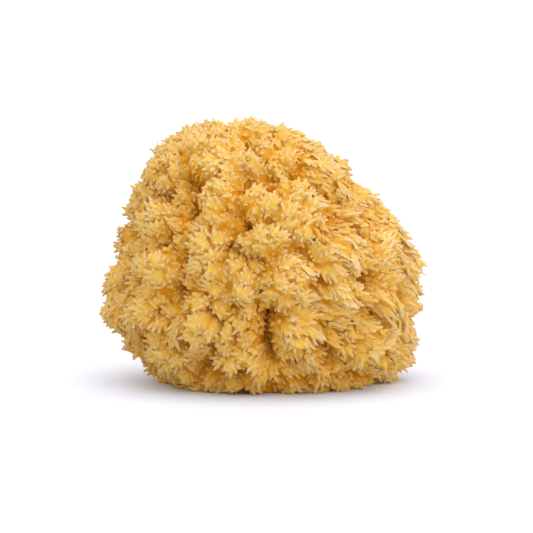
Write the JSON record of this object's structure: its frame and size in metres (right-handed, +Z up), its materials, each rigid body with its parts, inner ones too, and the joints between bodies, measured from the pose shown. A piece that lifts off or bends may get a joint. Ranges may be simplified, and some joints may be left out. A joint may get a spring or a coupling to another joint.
{
  "type": "sea sponge",
  "caption": "Natural bath sponge: a dried, honey-coloured mound of soft lobes covered in pointed tufts, with hollows between them and a flat cut base.",
  "frame": {"origin": "middle of the box round the sponge, at the height of its flat cut base, which is the floor", "axes": "+Z up; -Y is the front, the side the picture shows; +X to the right seen from the front, along the longest side, towards the end where the tufts are combed outwards"},
  "size_m": [0.1308, 0.1168, 0.1088],
  "materials": {
    "sponge_fibre": "dry, matt, fibrous; amber in the hollows and pale at the tips"
  },
  "bodies": {
    "root": {"sea_sponge": "sponge_fibre"}
  },
  "joints": []
}
